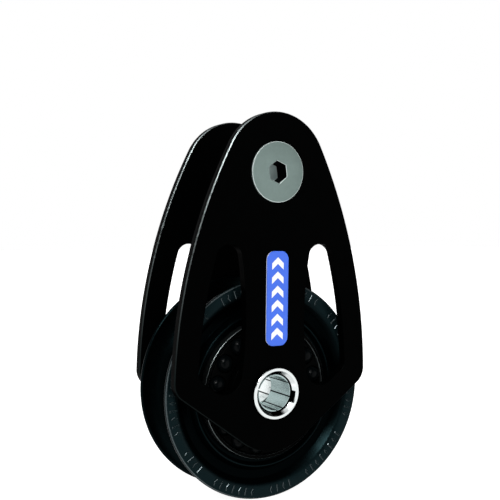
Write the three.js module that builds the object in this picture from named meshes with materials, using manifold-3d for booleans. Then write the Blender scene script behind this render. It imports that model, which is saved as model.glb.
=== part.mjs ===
// Single sheave block for a 12 mm rope: a grooved sheave between two flat cheek plates, on a hollow axle.
// Millimetres. +Z points up to the head, +Y runs along the sheave's axis to the rear cheek, and the origin is
// the middle of the sheave, on its axis.
import * as THREE from 'three';
import { mergeVertices } from 'three/addons/utils/BufferGeometryUtils.js';
import Module from 'manifold-3d';

const wasm = await Module();
wasm.setup();

// ---- Driving dimensions -------------------------------------------------------------------------------

const gap = 0.3; // clearance between neighbouring pieces
const overcut = 1; // how far a cutting tool runs past the face it opens
const facetHeight = 0.08; // how far an arc may stand off the straight facets that stand for it

const cheek = {
  outerFace: 12.4, // distance from the sheave's middle plane to a cheek's outer face
  thickness: 2.45,
  chamfer: 0.35,
  halfWidth: 29.4, // level with the axle
  headHeight: 57.4, // head screw above the axle
  headRadius: 15.1, // rounded head, concentric with the head screw
  cornerRadius: 5,
  cornerHeight: 4.7,
  bottomRadius: 15.8, // rounded bottom, concentric with the axle
};
cheek.innerFace = cheek.outerFace - cheek.thickness;

const slot = {
  rimWidth: 6.6, // material left between a slot and the cheek's outline
  top: 39.05,
  waistHalfWidth: 8.95, // half the web between the slots, at its narrowest
  waistHeight: 20,
  waistRadius: 105,
  outerTopRadius: 3.3,
  innerTopRadius: 3.2,
  innerBottomRadius: 5,
  outerBottomRadius: 3,
};

const badge = {
  halfWidth: 3.4,
  bottom: 12.6,
  top: 37.5,
  cornerRadius: 2.3,
  thickness: 0.85,
  proud: 0.65, // how far its face stands off the cheek
  edge: 0.25, // chamfer
};

const headScrew = {
  headRadius: 7.84,
  headThickness: 1.1,
  proud: 0.2,
  shankRadius: 3,
  shankEnd: 3.5, // from the sheave's middle plane
  chamfer: 0.25,
};
const hexSocket = { acrossFlats: 5.5, depth: 4.4, turn: 0.09 };
const headPost = { radius: 5 };

const axle = {
  flangeRadius: 6.93,
  flangeFace: 13.46, // outermost face, from the sheave's middle plane
  chamfer: 0.3,
  bodyRadius: 6.2,
  recessRadius: 5.9, // round recess in the flange
  recessDepth: 1.3,
  linerRadius: 5.05, // a groove in the recess's floor leaves a thin liner round the bore
  grooveRadius: 5.3,
  grooveDepth: 1,
  notchAngles: [-13.5, 92, 166.5, 272].map((angle) => THREE.MathUtils.degToRad(angle)), // opposite pairs
  notchReach: 5.8, // from the axis to a notch's outer wall
  notchWidth: 3.2,
  boreRadius: 4.85, // over the bore's ridges
  ridgeAngles: [-80, -60, -16, 31, 100, 120, 164, 211].map((angle) => THREE.MathUtils.degToRad(angle)),
  facetRadius: 7, // the bore's wall is a shallow arc between one ridge and the next
  joint: -3, // where the front and rear screws meet, along the axis
};
const axleSleeve = { radius: 8.2 };
const hubCollar = { radius: 11.5, innerEnd: 5 };

const roller = { count: 10, radius: 2, halfLength: 3.6 };
roller.ringRadius = axleSleeve.radius + gap + roller.radius;
const rollerCage = { innerRadius: 9.3, outerRadius: 11.7, halfLength: 4.6 };

const ball = { count: 16, radius: 2.3, ringRadius: 15.1, firstAngle: THREE.MathUtils.degToRad(124.5) };
ball.ringOffset = cheek.innerFace - gap - ball.radius; // from the middle plane to the balls' centres
const ballCage = { innerRadius: 11.9, outerRadius: 17.5, thickness: 1.5 };
const raceRing = { innerRadius: 17.9, outerRadius: 18.8, innerEnd: 5.2, outerEnd: 8.27, chamfer: 0.2 };

const sheave = {
  radius: 30,
  rimCrown: 7.75, // from the middle plane to the crest of each flange
  sideFace: 8.3,
  grooveRadius: 7.2,
  grooveCentre: 28.9,
  rimEdge: 29.4, // radius where the groove and the side face meet the rounded rim
  bandInner: 26.4, // the flat outer band ends here
  lipRadius: 25.4, // and steps down to the dished band
  lipHeight: 7.1,
  dishRadius: 23.5,
  dishBottom: 5.7,
  ridgeRadius: 21,
  ridgeHeight: 7.58,
  ridgeHalfWidth: 0.9,
  valleyHeight: 6.3,
  ballFloor: 4.55,
};
sheave.boreRadius = roller.ringRadius + roller.radius + gap;

// ---- Materials ----------------------------------------------------------------------------------------

/** Gives each piece a material of its own with the same finish. */
const finish = (color, roughness, metalness) =>
  () => new THREE.MeshStandardMaterial({ color, roughness, metalness });
const blackAnodised = finish(0x0b0c0d, 0.35, 0.7);
const blackAcetal = finish(0x101b1d, 0.45, 0);
const greyAcetal = finish(0x1c2223, 0.5, 0);
const satinSteel = finish(0x768a84, 0.4, 1);
const polishedSteel = finish(0xdde3e2, 0.15, 1);
const blueBadge = finish(0x4f80ee, 0.3, 0);

// ---- Helpers ------------------------------------------------------------------------------------------

const fullTurn = 2 * Math.PI;

/** Points along an arc, with just enough of them to keep within facetHeight. */
function arc(centre, radius, from, to) {
  const step = 2 * Math.acos(1 - facetHeight / radius);
  const steps = Math.max(2, Math.ceil(Math.abs(to - from) / step));
  return Array.from({ length: steps + 1 }, (_, i) => {
    const angle = from + ((to - from) * i) / steps;
    return new THREE.Vector2(centre.x + radius * Math.cos(angle), centre.y + radius * Math.sin(angle));
  });
}

/** A circle as a closed outline of points, without the repeated last one. */
function circle(centre, radius) {
  return arc(centre, radius, 0, fullTurn).slice(0, -1);
}

function mirrored(points) {
  return points.map((point) => new THREE.Vector2(-point.x, point.y)).reverse();
}

/** Extrudes an outline in the X-Z plane from y = innerY out to y = outerY, with chamfered edges. */
function plate(outline, holes, innerY, outerY, chamfer = 0) {
  const shape = new THREE.Shape(outline);
  shape.holes = holes.map((points) => new THREE.Path(points));
  const geometry = new THREE.ExtrudeGeometry(shape, {
    depth: innerY - outerY - 2 * chamfer,
    bevelEnabled: chamfer > 0,
    bevelThickness: chamfer,
    bevelSize: chamfer,
    bevelOffset: -chamfer,
    bevelSegments: 1,
  });
  return geometry.rotateX(Math.PI / 2).translate(0, innerY - chamfer, 0);
}

/** Turns a profile of [radius, y] pairs round the Y axis. */
function turned(profile, radiusForFacets) {
  const step = 2 * Math.acos(1 - facetHeight / radiusForFacets);
  const segments = 2 * Math.ceil(fullTurn / step / 2);
  return new THREE.LatheGeometry(profile.map(([radius, y]) => new THREE.Vector2(radius, y)), segments);
}

/** A ring with square edges round the Y axis. */
function ring(innerRadius, outerRadius, lowY, highY) {
  const inner = [[innerRadius, highY], [innerRadius, lowY]];
  const outer = [[outerRadius, lowY], [outerRadius, highY]];
  return turned([inner[1], ...outer, ...inner], outerRadius);
}

/** A solid cylinder round the Y axis. */
function disc(radius, lowY, highY) {
  return turned([[0, lowY], [radius, lowY], [radius, highY], [0, highY]], radius);
}

function solid(geometry) {
  const bare = geometry.clone();
  bare.deleteAttribute('normal');
  bare.deleteAttribute('uv');
  const merged = mergeVertices(bare);
  const mesh = new wasm.Mesh({
    numProp: 3,
    vertProperties: new Float32Array(merged.attributes.position.array),
    triVerts: new Uint32Array(merged.index.array),
  });
  return new wasm.Manifold(mesh);
}

/** Cuts the tools out of a body and gives back its geometry. */
function cut(body, tools) {
  const mesh = tools.reduce((rest, tool) => rest.subtract(solid(tool)), solid(body)).getMesh();
  const geometry = new THREE.BufferGeometry();
  const corners = new Float32Array(mesh.vertProperties);
  geometry.setAttribute('position', new THREE.BufferAttribute(corners, mesh.numProp));
  geometry.setIndex(new THREE.BufferAttribute(new Uint32Array(mesh.triVerts), 1));
  geometry.computeVertexNormals();
  return geometry;
}

function add(parent, name, geometry, material) {
  const mesh = new THREE.Mesh(geometry, material());
  mesh.name = name;
  parent.add(mesh);
  return mesh;
}

function numbered(prefix, index) {
  return `${prefix}_${String(index + 1).padStart(2, '0')}`;
}

/** A place on a ring round the Y axis: angle 0 along +X, turning towards +Z. */
function onRing(radius, angle, y) {
  return new THREE.Vector3(radius * Math.cos(angle), y, radius * Math.sin(angle));
}

// ---- Cheek plates -------------------------------------------------------------------------------------

// The side of the cheek is one long arc, level with the axle at its widest and tangent to the head arc.
const sideRadius = (cheek.headHeight ** 2 + cheek.halfWidth ** 2 - cheek.headRadius ** 2)
  / (2 * (cheek.halfWidth - cheek.headRadius));
const sideCentre = new THREE.Vector2(cheek.halfWidth - sideRadius, 0);
const axleCentre = new THREE.Vector2(0, 0);
const headCentre = new THREE.Vector2(0, cheek.headHeight);

// The lower corner touches the side arc from inside, and a straight edge joins it to the bottom arc.
const cornerReach = sideRadius - cheek.cornerRadius;
const cornerCentre = new THREE.Vector2(
  sideCentre.x + Math.sqrt(cornerReach ** 2 - cheek.cornerHeight ** 2),
  cheek.cornerHeight,
);
const lowerEdgeAngle = cornerCentre.angle()
  - Math.acos((cheek.bottomRadius - cheek.cornerRadius) / cornerCentre.length());

function cheekOutline() {
  const headAngle = Math.atan2(cheek.headHeight, -sideCentre.x);
  const cornerAngle = Math.asin(cheek.cornerHeight / cornerReach);
  const rightSide = [
    ...arc(cornerCentre, cheek.cornerRadius, lowerEdgeAngle, cornerAngle),
    ...arc(sideCentre, sideRadius, cornerAngle, headAngle).slice(1),
  ];
  return [
    ...arc(axleCentre, cheek.bottomRadius, -Math.PI - lowerEdgeAngle, lowerEdgeAngle),
    ...rightSide,
    ...arc(headCentre, cheek.headRadius, headAngle, Math.PI - headAngle).slice(1, -1),
    ...mirrored(rightSide),
  ];
}

/**
 * Centre of a fillet inside a slot that touches a straight edge, given by its normal's angle and its distance
 * from the axle, and the inside of a large arc.
 */
function filletCentre(radius, edgeAngle, edgeDistance, arcCentre, arcRadius) {
  const normal = new THREE.Vector2(Math.cos(edgeAngle), Math.sin(edgeAngle));
  const along = new THREE.Vector2(-normal.y, normal.x);
  const foot = normal.clone().multiplyScalar(edgeDistance - radius);
  const nearest = along.dot(arcCentre.clone().sub(foot));
  const offEdge = foot.clone().addScaledVector(along, nearest).distanceTo(arcCentre);
  const reach = Math.sqrt((arcRadius - radius) ** 2 - offEdge ** 2);
  return foot.addScaledVector(along, nearest - Math.sign(nearest) * reach);
}

/** The lightening slot on the +X side: outer wall, rounded top, curved waist and rounded, slanted bottom. */
function slotOutline() {
  const up = Math.PI / 2;
  const wallRadius = sideRadius - slot.rimWidth;
  const bottomDistance = cheek.bottomRadius - slot.rimWidth;
  const waistCentre = new THREE.Vector2(slot.waistHalfWidth + slot.waistRadius, slot.waistHeight);
  const outerTop = filletCentre(slot.outerTopRadius, up, slot.top, sideCentre, wallRadius);
  const innerTop = filletCentre(slot.innerTopRadius, up, slot.top, waistCentre, slot.waistRadius);
  const innerBottom = filletCentre(
    slot.innerBottomRadius, lowerEdgeAngle, bottomDistance, waistCentre, slot.waistRadius,
  );
  const outerBottom = filletCentre(
    slot.outerBottomRadius, lowerEdgeAngle, bottomDistance, sideCentre, wallRadius,
  );
  const wallFrom = Math.atan2(outerBottom.y, outerBottom.x - sideCentre.x);
  const wallTo = Math.atan2(outerTop.y, outerTop.x - sideCentre.x);
  const waistFrom = innerTop.clone().sub(waistCentre).angle();
  const waistTo = innerBottom.clone().sub(waistCentre).angle();
  return [
    ...arc(sideCentre, wallRadius, wallFrom, wallTo),
    ...arc(outerTop, slot.outerTopRadius, wallTo, up).slice(1),
    ...arc(innerTop, slot.innerTopRadius, up, waistFrom),
    ...arc(waistCentre, slot.waistRadius, waistFrom, waistTo).slice(1),
    ...arc(innerBottom, slot.innerBottomRadius, waistTo, lowerEdgeAngle + fullTurn).slice(1),
    ...arc(outerBottom, slot.outerBottomRadius, lowerEdgeAngle, wallFrom).slice(0, -1),
  ];
}

/** The badge's outline, grown by a margin for the pocket that holds it. */
function badgeOutline(margin) {
  const radius = badge.cornerRadius + margin;
  const x = badge.halfWidth - badge.cornerRadius;
  const low = badge.bottom + badge.cornerRadius;
  const high = badge.top - badge.cornerRadius;
  const right = [
    ...arc(new THREE.Vector2(x, low), radius, -Math.PI / 2, 0),
    ...arc(new THREE.Vector2(x, high), radius, 0, Math.PI / 2),
  ];
  return [...right, ...mirrored(right)];
}

function cheekGeometry() {
  const slotPoints = slotOutline();
  const holes = [
    slotPoints,
    mirrored(slotPoints),
    circle(axleCentre, axle.bodyRadius + gap),
    circle(headCentre, headScrew.shankRadius + gap),
  ];
  const face = -cheek.outerFace;
  const blank = plate(cheekOutline(), holes, -cheek.innerFace, face, cheek.chamfer);
  const headSeatDepth = headScrew.headThickness - headScrew.proud + gap;
  const headSeat = disc(headScrew.headRadius + gap, face - overcut, face + headSeatDepth)
    .translate(0, 0, cheek.headHeight);
  const badgeSeatDepth = badge.thickness - badge.proud + gap;
  const badgeSeat = plate(badgeOutline(gap), [], face + badgeSeatDepth, face - overcut);
  return cut(blank, [headSeat, badgeSeat]);
}

function badgeGeometry() {
  const face = -cheek.outerFace - badge.proud;
  return plate(badgeOutline(0), [], face + badge.thickness, face, badge.edge);
}

// ---- Head fastening -----------------------------------------------------------------------------------

function hexagon(centre, acrossFlats, turn) {
  const radius = acrossFlats / Math.sqrt(3);
  return Array.from({ length: 6 }, (_, i) => {
    const angle = turn + Math.PI / 2 + (i * Math.PI) / 3;
    return new THREE.Vector2(centre.x + radius * Math.cos(angle), centre.y + radius * Math.sin(angle));
  });
}

function headScrewGeometry() {
  const { headRadius, headThickness, proud, shankRadius, shankEnd, chamfer } = headScrew;
  const face = -cheek.outerFace - proud;
  const body = turned(
    [
      [0, face],
      [headRadius - chamfer, face],
      [headRadius, face + chamfer],
      [headRadius, face + headThickness],
      [shankRadius, face + headThickness],
      [shankRadius, -shankEnd],
      [0, -shankEnd],
    ],
    headRadius,
  ).translate(0, 0, cheek.headHeight);
  const socketOutline = hexagon(headCentre, hexSocket.acrossFlats, hexSocket.turn);
  return cut(body, [plate(socketOutline, [], face + hexSocket.depth, face - overcut)]);
}

function headPostGeometry() {
  const end = cheek.innerFace - gap;
  return ring(headScrew.shankRadius + gap, headPost.radius, -end, end).translate(0, 0, cheek.headHeight);
}

// ---- Hollow axle --------------------------------------------------------------------------------------

/** The bore's section: shallow arcs that meet in ridges, all ridges on one circle. */
function boreOutline() {
  const { boreRadius, facetRadius, ridgeAngles } = axle;
  return ridgeAngles.flatMap((ridge, i) => {
    const next = ridgeAngles[i + 1] ?? ridgeAngles[0] + fullTurn;
    const half = (next - ridge) / 2;
    const middle = ridge + half;
    const span = Math.asin((boreRadius * Math.sin(half)) / facetRadius);
    const offset = boreRadius * Math.cos(half) - facetRadius * Math.cos(span);
    const centre = new THREE.Vector2(offset * Math.cos(middle), offset * Math.sin(middle));
    return arc(centre, facetRadius, middle - span, middle + span).slice(0, -1);
  });
}

/** A notch in the recess's floor, from the liner almost out to the recess's wall. */
function notchOutline(angle) {
  const outerHalf = Math.asin(axle.notchWidth / 2 / axle.notchReach);
  const innerHalf = Math.asin(axle.notchWidth / 2 / axle.linerRadius);
  return [
    ...arc(axleCentre, axle.notchReach, angle - outerHalf, angle + outerHalf),
    ...arc(axleCentre, axle.linerRadius, angle + innerHalf, angle - innerHalf),
  ];
}

/** One half of the hollow axle, with its flange at the front and its body reaching in to innerEnd. */
function axleScrewGeometry(innerEnd) {
  const face = -axle.flangeFace;
  const flangeBack = -cheek.outerFace - gap;
  const body = turned(
    [
      [0, face],
      [axle.flangeRadius - axle.chamfer, face],
      [axle.flangeRadius, face + axle.chamfer],
      [axle.flangeRadius, flangeBack],
      [axle.bodyRadius, flangeBack],
      [axle.bodyRadius, innerEnd],
      [0, innerEnd],
    ],
    axle.flangeRadius,
  );
  const recessFloor = face + axle.recessDepth;
  const grooveFloor = recessFloor + axle.grooveDepth;
  const bore = plate(boreOutline(), [], innerEnd + overcut, face - overcut);
  const recess = disc(axle.recessRadius, face - overcut, recessFloor);
  const groove = ring(axle.linerRadius, axle.grooveRadius, face, grooveFloor);
  const notches = axle.notchAngles.map((angle) => plate(notchOutline(angle), [], grooveFloor, face));
  return cut(body, [bore, recess, groove, ...notches]);
}

function axleSleeveGeometry() {
  const end = cheek.innerFace - gap;
  return ring(axle.bodyRadius + gap, axleSleeve.radius, -end, end);
}

function hubCollarGeometry() {
  return ring(axleSleeve.radius + gap, hubCollar.radius, -cheek.innerFace + gap, -hubCollar.innerEnd);
}

// ---- Sheave and its bearings --------------------------------------------------------------------------

/** Half of the sheave's section, from the bottom of the rope groove over the rear flange to the bore. */
function sheaveHalfProfile() {
  const { grooveCentre, grooveRadius, rimEdge, radius, rimCrown, sideFace } = sheave;
  const grooveEnd = Math.asin((rimEdge - grooveCentre) / grooveRadius);
  const groove = arc(new THREE.Vector2(grooveCentre, 0), grooveRadius, Math.PI, Math.PI / 2 - grooveEnd)
    .map((point) => [point.x, point.y]);
  const ringSeatWall = raceRing.outerRadius + gap;
  const ringSeatFloor = raceRing.innerEnd - gap;
  return [
    ...groove,
    [radius, rimCrown],
    [rimEdge, sideFace],
    [sheave.bandInner, sideFace],
    [sheave.lipRadius, sheave.lipHeight],
    [sheave.dishRadius, sheave.dishBottom],
    [sheave.ridgeRadius + sheave.ridgeHalfWidth, sheave.valleyHeight],
    [sheave.ridgeRadius, sheave.ridgeHeight],
    [sheave.ridgeRadius - sheave.ridgeHalfWidth, sheave.valleyHeight],
    [ringSeatWall, sheave.valleyHeight],
    [ringSeatWall, ringSeatFloor],
    [raceRing.innerRadius, ringSeatFloor],
    [raceRing.innerRadius - gap, sheave.ballFloor],
    [sheave.boreRadius, sheave.ballFloor],
  ];
}

function sheaveGeometry() {
  const rearHalf = sheaveHalfProfile();
  const frontHalf = rearHalf.slice(1).map(([radius, y]) => [radius, -y]).reverse();
  const profile = [...frontHalf, ...rearHalf];
  return turned([...profile, profile[0]], sheave.radius);
}

function raceRingGeometry() {
  const { innerRadius, outerRadius, innerEnd, outerEnd, chamfer } = raceRing;
  return turned(
    [
      [innerRadius, -outerEnd + chamfer],
      [innerRadius + chamfer, -outerEnd],
      [outerRadius - chamfer, -outerEnd],
      [outerRadius, -outerEnd + chamfer],
      [outerRadius, -innerEnd],
      [innerRadius, -innerEnd],
      [innerRadius, -outerEnd + chamfer],
    ],
    outerRadius,
  );
}

/** A crown cage: a ring with a pocket for each ball, open on the outer side. */
function ballCageGeometry() {
  const middle = -ball.ringOffset;
  const low = middle - ballCage.thickness / 2;
  const high = middle + ballCage.thickness / 2;
  const pockets = ballAngles().map((angle) => {
    const centre = onRing(ball.ringRadius, angle, 0);
    return disc(ball.radius + gap, low - overcut, high + overcut).translate(centre.x, 0, centre.z);
  });
  return cut(ring(ballCage.innerRadius, ballCage.outerRadius, low, high), pockets);
}

function ballAngles() {
  return Array.from({ length: ball.count }, (_, i) => ball.firstAngle + (i * fullTurn) / ball.count);
}

function rollerAngles() {
  return Array.from({ length: roller.count }, (_, i) => Math.PI / 2 + (i * fullTurn) / roller.count);
}

/** A cage of two end rings joined by the bars that are left between the roller pockets. */
function rollerCageGeometry() {
  const pocketEnd = roller.halfLength + gap;
  const pockets = rollerAngles().map((angle) => {
    const centre = onRing(roller.ringRadius, angle, 0);
    return disc(roller.radius + gap, -pocketEnd, pocketEnd).translate(centre.x, 0, centre.z);
  });
  const { innerRadius, outerRadius, halfLength } = rollerCage;
  return cut(ring(innerRadius, outerRadius, -halfLength, halfLength), pockets);
}

// ---- Assembly -----------------------------------------------------------------------------------------

/** Everything that sits on one side of the block, built as the front side. */
function addSide(parent, side, axleScrewEnd) {
  add(parent, `${side}_cheek`, cheekGeometry(), blackAnodised);
  add(parent, `${side}_badge`, badgeGeometry(), blueBadge);
  add(parent, `${side}_head_screw`, headScrewGeometry(), satinSteel);
  add(parent, `${side}_axle_screw`, axleScrewGeometry(axleScrewEnd), polishedSteel);
  add(parent, `${side}_hub_collar`, hubCollarGeometry(), blackAnodised);
  add(parent, `${side}_race_ring`, raceRingGeometry(), blackAcetal);
  add(parent, `${side}_ball_cage`, ballCageGeometry(), greyAcetal);
  ballAngles().forEach((angle, i) => {
    const sphere = new THREE.IcosahedronGeometry(ball.radius, 1);
    const mesh = add(parent, numbered(`${side}_ball`, i), sphere, greyAcetal);
    mesh.position.copy(onRing(ball.ringRadius, angle, -ball.ringOffset));
  });
}

function block() {
  const group = new THREE.Group();
  const rear = new THREE.Group();
  rear.rotation.z = Math.PI;
  group.add(rear);
  addSide(group, 'front', axle.joint - gap / 2);
  addSide(rear, 'rear', -axle.joint - gap / 2);
  add(group, 'head_post', headPostGeometry(), satinSteel);
  add(group, 'axle_sleeve', axleSleeveGeometry(), blackAnodised);
  add(group, 'sheave', sheaveGeometry(), blackAcetal);
  add(group, 'roller_cage', rollerCageGeometry(), greyAcetal);
  rollerAngles().forEach((angle, i) => {
    const cylinder = disc(roller.radius, -roller.halfLength, roller.halfLength);
    const mesh = add(group, numbered('roller', i), cylinder, greyAcetal);
    mesh.position.copy(onRing(roller.ringRadius, angle, 0));
  });
  return group;
}

export default block();
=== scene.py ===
"""Looks for the single sheave block: fine surfaces, materials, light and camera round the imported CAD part.

Shapes are worked out in millimetres, in the part's own frame: +Z up to the head screws, +Y along the sheave's
axis to the rear cheek, origin in the middle of the sheave. Outlines are lists of (x, z) points. A piece of
either side is made as the front one, and the rear one is that shape turned half way round the Z axis.
"""

import math

import bmesh
import bpy
from mathutils import Matrix, Vector
from mathutils.geometry import tessellate_polygon


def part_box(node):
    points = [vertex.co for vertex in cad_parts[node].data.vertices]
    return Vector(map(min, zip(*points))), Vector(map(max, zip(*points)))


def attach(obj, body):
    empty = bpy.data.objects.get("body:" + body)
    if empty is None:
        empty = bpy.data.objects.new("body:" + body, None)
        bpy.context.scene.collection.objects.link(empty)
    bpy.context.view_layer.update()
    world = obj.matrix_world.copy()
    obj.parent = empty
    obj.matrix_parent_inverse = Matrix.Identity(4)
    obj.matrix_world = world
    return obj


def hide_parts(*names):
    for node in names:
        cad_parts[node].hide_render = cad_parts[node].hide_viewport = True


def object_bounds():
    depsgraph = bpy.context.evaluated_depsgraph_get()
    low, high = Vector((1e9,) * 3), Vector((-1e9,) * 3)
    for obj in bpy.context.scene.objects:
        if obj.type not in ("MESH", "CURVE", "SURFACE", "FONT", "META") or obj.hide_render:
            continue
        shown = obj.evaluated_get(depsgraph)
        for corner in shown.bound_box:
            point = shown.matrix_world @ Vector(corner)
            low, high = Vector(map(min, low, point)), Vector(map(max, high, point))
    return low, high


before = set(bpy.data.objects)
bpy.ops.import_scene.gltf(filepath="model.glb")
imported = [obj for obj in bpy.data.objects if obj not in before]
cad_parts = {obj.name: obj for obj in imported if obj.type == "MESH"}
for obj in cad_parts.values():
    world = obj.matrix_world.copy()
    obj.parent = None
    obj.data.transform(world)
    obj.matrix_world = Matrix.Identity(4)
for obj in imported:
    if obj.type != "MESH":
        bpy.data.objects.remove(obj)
cad_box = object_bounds()

# ---- Sizes --------------------------------------------------------------------------------------------

MM = 0.001
FULL_TURN = 2 * math.pi
FINENESS = 0.004  # how far an arc may stand off the straight edges that stand for it
SMOOTH_BELOW = math.radians(28)  # edges that turn by less than this are shaded smooth
WELD = 2e-6  # corners nearer than this after a cut become one, in metres
OVERCUT = 1  # how far a cutting tool runs past the face it opens
SEAT_GAP = 0.3  # between a fixed piece and the hole that it sits in


def box(node):
    """A CAD node's lowest and highest corners, in millimetres."""
    low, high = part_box(node)
    return low / MM, high / MM


def half_height(node):
    """Half of a CAD node's height, which is the radius of a round one."""
    low, high = box(node)
    return (high.z - low.z) / 2


def centre_of(node):
    low, high = box(node)
    return (low + high) / 2


cheek_low, cheek_high = box("front_cheek")
CHEEK_FACE = cheek_low.y
CHEEK_BACK = cheek_high.y
BOTTOM_RADIUS = -cheek_low.z
HALF_WIDTH = 29.4
CORNER_RADIUS = 5
CORNER_HEIGHT = 4.7
EDGE_CHAMFER = 0.24
EDGE_HIGHLIGHT_TOP = 72  # height where the painted highlight on the chamfers is brightest

SLOT_RIM = 6.6  # material left between a slot and the cheek's outline
SLOT_TOP = 39.05
SLOT_EDGE = 0.12
WAIST_HALF_WIDTH = 8.95
WAIST_HEIGHT = 20
WAIST_RADIUS = 105
SLOT_OUTER_TOP = 3.3
SLOT_INNER_TOP = 3.2
SLOT_INNER_BOTTOM = 5
SLOT_OUTER_BOTTOM = 3

screw_low, screw_high = box("front_head_screw")
HEAD_HEIGHT = (screw_low.z + screw_high.z) / 2
HEAD_RADIUS = cheek_high.z - HEAD_HEIGHT  # of the cheek's top
HEAD_SCREW_RADIUS = (screw_high.z - screw_low.z) / 2
HEAD_DISC_RADIUS = HEAD_SCREW_RADIUS - 0.14  # leaves a dark line round the disc
HEAD_SCREW_THICKNESS = 1.1
HEAD_SCREW_EDGE = 0.2
HEAD_SCREW_CROWN = 0.06  # the edge is rounded by one line, this far in from the disc's face and side
HEAD_SEAT_RADIUS = HEAD_SCREW_RADIUS + 0.1
HEAD_SEAT_DEPTH = 1.2
SHANK_RADIUS = 3
SHANK_HOLE = 3.3
SOCKET_FLATS = 5.05
SOCKET_TURN = 0.14
SOCKET_DEPTH = 4.5
SOCKET_EDGE = 0.1

POST_RADIUS = half_height("head_post")
POST_WAIST = 4.6
POST_SHOULDER = 2  # length of the full-width ends
POST_SLOPE = 0.6  # length of the slope from each end to the waist
POST_ROUNDING = 0.3

badge_low, badge_high = box("front_badge")
BADGE_HALF_WIDTH = badge_high.x
BADGE_RADIUS = 2.3
BADGE_INSET = 0.12
BADGE_EDGE = 0.08
BADGE_FACE_LAYER = 0.12  # blue top layer over a thin pale layer, both set in from a black base
BADGE_PALE_LAYER = 0.2
BADGE_POCKET_GAP = 0.08
BADGE_POCKET_FLOOR = badge_high.y + 0.1

CHEVRON_COUNT = 6
CHEVRON_PITCH = (badge_high.z - badge_low.z) * 0.88 / CHEVRON_COUNT  # the row leaves both ends free
CHEVRON_HALF_WIDTH = 1.75
CHEVRON_HALF_HEIGHT = CHEVRON_PITCH * 0.44
CHEVRON_ARM = CHEVRON_PITCH * 0.46  # height of each arm's end
CHEVRON_RELIEF = 0.06
CHEVRON_EDGE = 0.03

ROOT = 0.05  # how deep a raised mark reaches into the surface it stands on

axle_low, axle_high = box("front_axle_screw")
AXLE_FACE = axle_low.y
FLANGE_RADIUS = axle_high.z
FLANGE_EDGE = 0.15
AXLE_BODY_RADIUS = 6.2
RECESS_RADIUS = 6.1  # round recess in the flange
RECESS_DEPTH = 1.3
RECESS_BEVEL = 0.85  # depth over which its wall slopes in to the groove
LINER_RADIUS = 4.95  # a groove in the recess's floor leaves a thin liner round the bore
LINER_GROOVE = 5.3  # the groove's outer radius
LINER_GROOVE_DEPTH = 1
NOTCH_ANGLES = (-13.5, 92, 166.5, 272)
NOTCH_REACH = 5.93
NOTCH_WIDTH = 3.2
BORE_RADIUS = 4.85  # over the bore's ridges
RIDGE_ANGLES = (-80, -60, -16, 31, 100, 120, 164, 211)
RIDGE_LINE = 0.36  # width of the painted shade line along each ridge
FACET_RADIUS = 7  # the bore's wall is a shallow arc between one ridge and the next

sheave_high = box("sheave")[1]
SHEAVE_RADIUS = sheave_high.z
SHEAVE_SIDE = sheave_high.y  # names that end in SIDE are distances from the sheave's middle plane
GROOVE_RADIUS = 7.2
GROOVE_CENTRE = 28.9
LIP_RADIUS = 0.56  # rounding of the sheave's two rims
BAND_INNER = 26.7  # inside it, the side rolls over into a dish
BAND_ROUNDING = 2.6
DISH_OUTER = 24.6
DISH_OUTER_SIDE = 5.9
DISH_OUTER_ROUNDING = 1.3
DISH_INNER = 22.4
DISH_INNER_SIDE = 5.55
DISH_INNER_ROUNDING = 0.9
RIDGE_RADIUS = 21  # raised ring round the bearing
RIDGE_SIDE = 7.9
RIDGE_ROUNDING = 0.3
LEDGE_RADIUS = 20.1
LEDGE_SIDE = 6.2
RING_SEAT_RADIUS = 19.1
RING_SEAT_SIDE = 4.9
RING_SEAT_ROUNDING = 0.1
RACE_BORE = 17.9
RACE_CHAMFER = 0.1
TRACK_RADIUS = 17.6  # the balls run inside this
TRACK_SIDE = 4.55
SHEAVE_BORE = 12.8
SHEAVE_BORE_ROUNDING = 0.2
BAND_BEGINS = 7.4  # the sheave turns from the black of its painted shade to its paler colour between these two
BAND_FULL = 8.2
RIM_SHEEN_AND_WEAR = (math.radians(45), math.radians(75))  # the part of each rim's rounding that is rubbed and also given a painted highlight

BALL_COUNT = 16
BALL_RADIUS = half_height("front_ball_01")
BALL_REACH = math.radians(87)  # from a ball's equator to the tiny flats that end it
BALL_STEPS = 28
POCKET_RADIUS = 2.55
CAGE_BORE = 11.9
CAGE_CHAMFER = 0.2

ROLLER_COUNT = 10
ROLLER_RADIUS = half_height("roller_01")
ROLLER_ROUNDING = 0.3

COLLAR_RADIUS = half_height("front_hub_collar")
COLLAR_BORE = 8.5
COLLAR_CHAMFER = 0.2

MARK_GROUPS = (7, 4, 8, 5, 9, 6, 8, 6, 9, 4)  # raised marks in each group, round the sheave's side
MARK_SPACE = 2  # marks left out between groups
MARK_START = math.radians(-128)
MARK_RADIUS = 27.9
MARK_LENGTH = 2.1  # along the sheave's radius
MARK_WIDTH = 0.85
MARK_RELIEF = 0.2
MARK_EDGE = 0.1
LOZENGE = ((-0.5, 0), (0, -0.5), (0.5, 0), (0, 0.5))  # shares of a mark's length and width
BAR = ((-0.5, -0.3), (0.5, -0.3), (0.5, 0.3), (-0.5, 0.3))

# ---- Outlines -----------------------------------------------------------------------------------------


def point(radius, angle):
    return Vector((radius * math.cos(angle), radius * math.sin(angle)))


def arc(centre, radius, start, end):
    """Points along an arc, with enough of them to keep within FINENESS."""
    step = 2 * math.acos(1 - FINENESS / radius)
    count = max(2, math.ceil(abs(end - start) / step))
    return [centre + point(radius, start + (end - start) * i / count) for i in range(count + 1)]


def circle(centre, radius):
    return arc(centre, radius, 0, FULL_TURN)[:-1]


def hole(centre, radius):
    return list(reversed(circle(centre, radius)))


def mirrored(points):
    return [Vector((-p.x, p.y)) for p in reversed(points)]


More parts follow.
